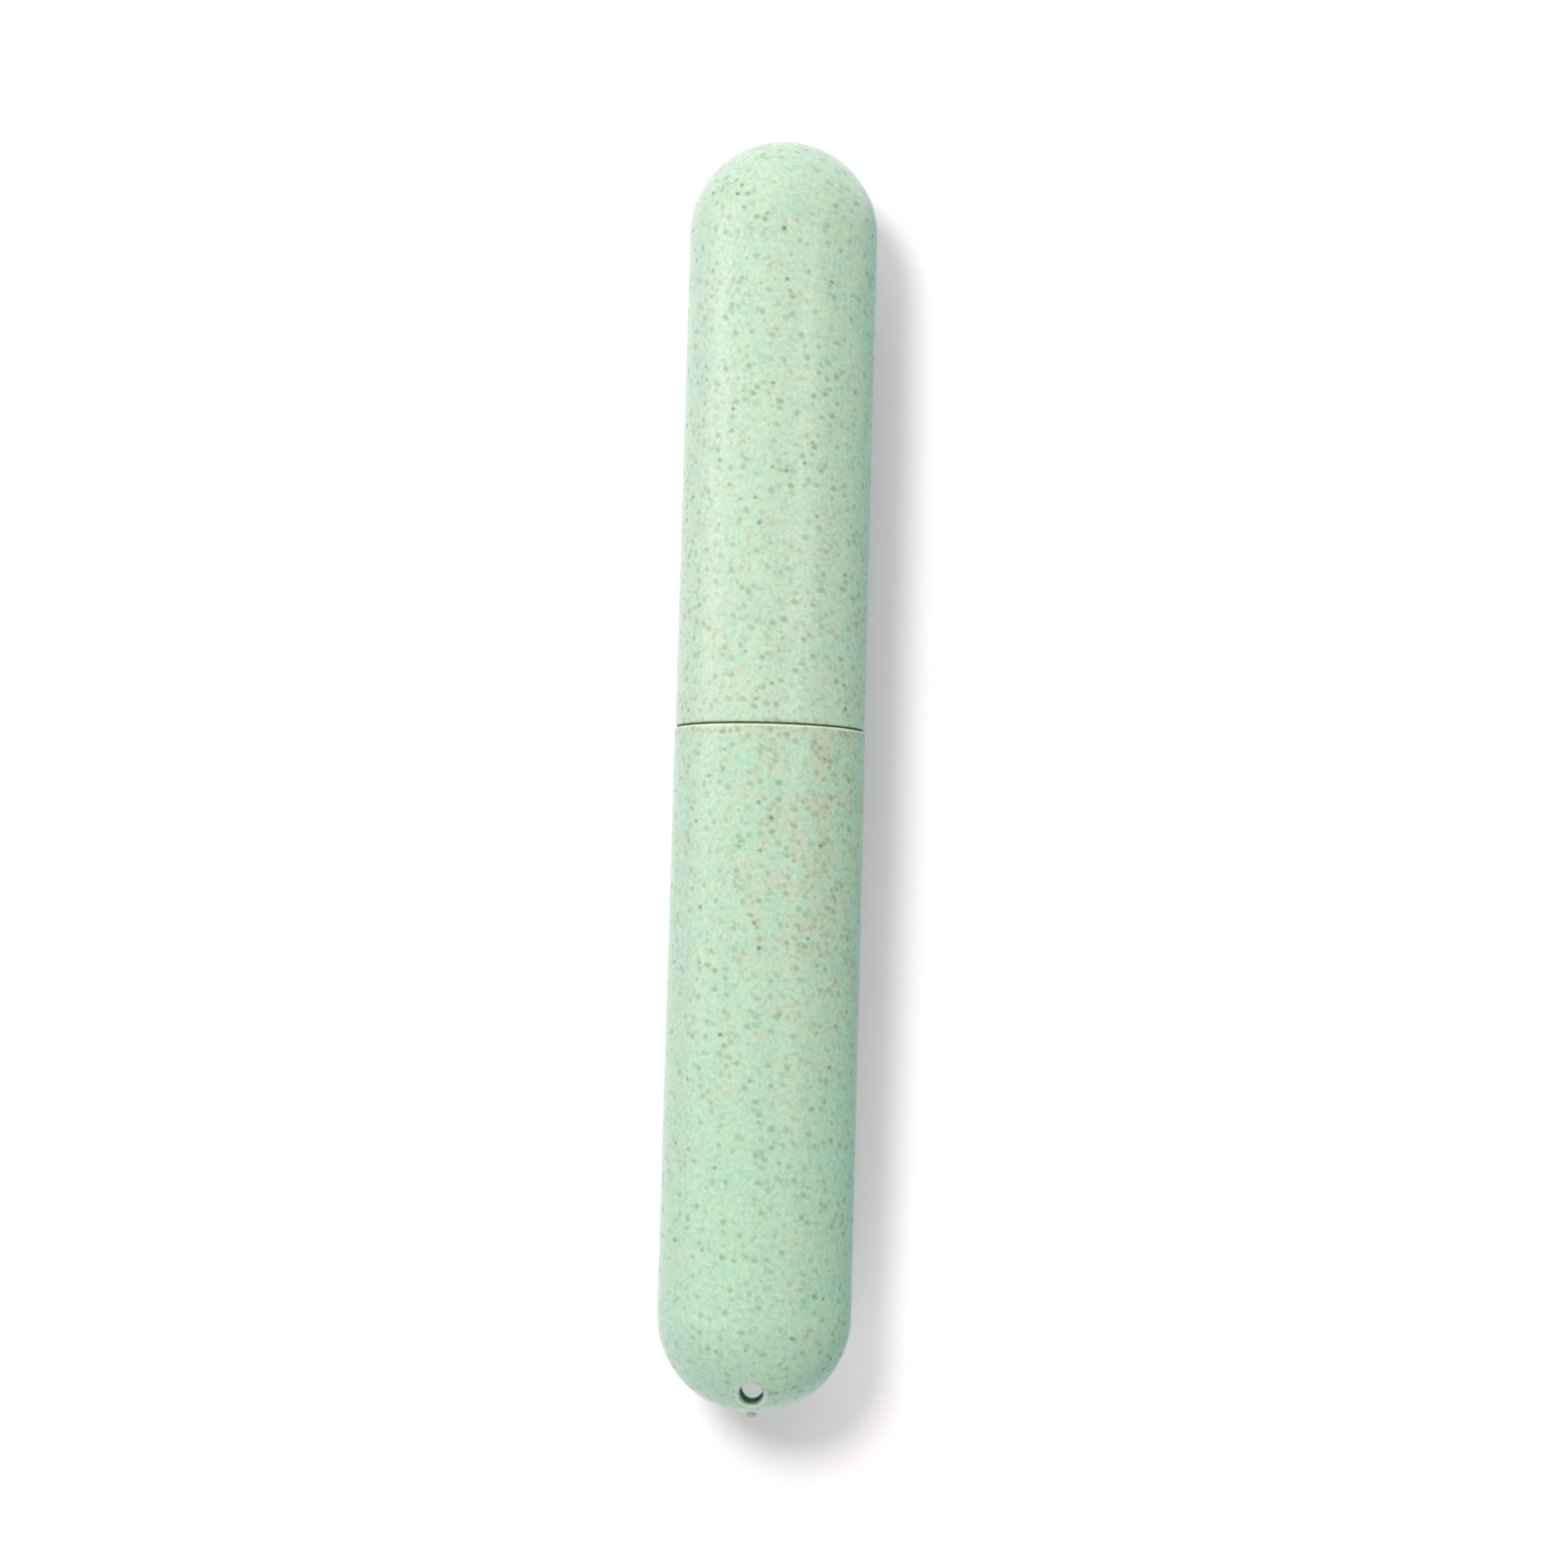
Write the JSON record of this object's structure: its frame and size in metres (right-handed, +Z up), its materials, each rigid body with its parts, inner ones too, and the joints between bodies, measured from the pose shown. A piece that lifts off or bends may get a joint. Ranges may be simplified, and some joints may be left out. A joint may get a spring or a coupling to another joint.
{
  "type": "toothbrush case",
  "caption": "Round-ended tube case for a toothbrush in speckled straw-filled plastic, with a push-on cap and a hanging and airing hole through the tip.",
  "frame": {"origin": "on the surface that the closed case lies on, under the middle of its length", "axes": "+Y along the case from the body's tip to the cap's tip, +Z up, along the hanging hole"},
  "size_m": [0.0302, 0.2008, 0.0303],
  "materials": {
    "body_plastic": "injection-moulded polypropylene filled with wheat straw, pale mint green with straw flecks, satin",
    "cap_plastic": "injection-moulded polypropylene filled with wheat straw, pale mint green with straw flecks, satin"
  },
  "bodies": {
    "case_body": {"case_body": "body_plastic"},
    "case_cap": {"case_cap": "cap_plastic"}
  },
  "joints": [
    {"name": "cap_slide", "type": "slide", "parent": "case_body", "child": "case_cap", "axis": [0, 1, 0], "range_m": [0, 0.09]}
  ]
}
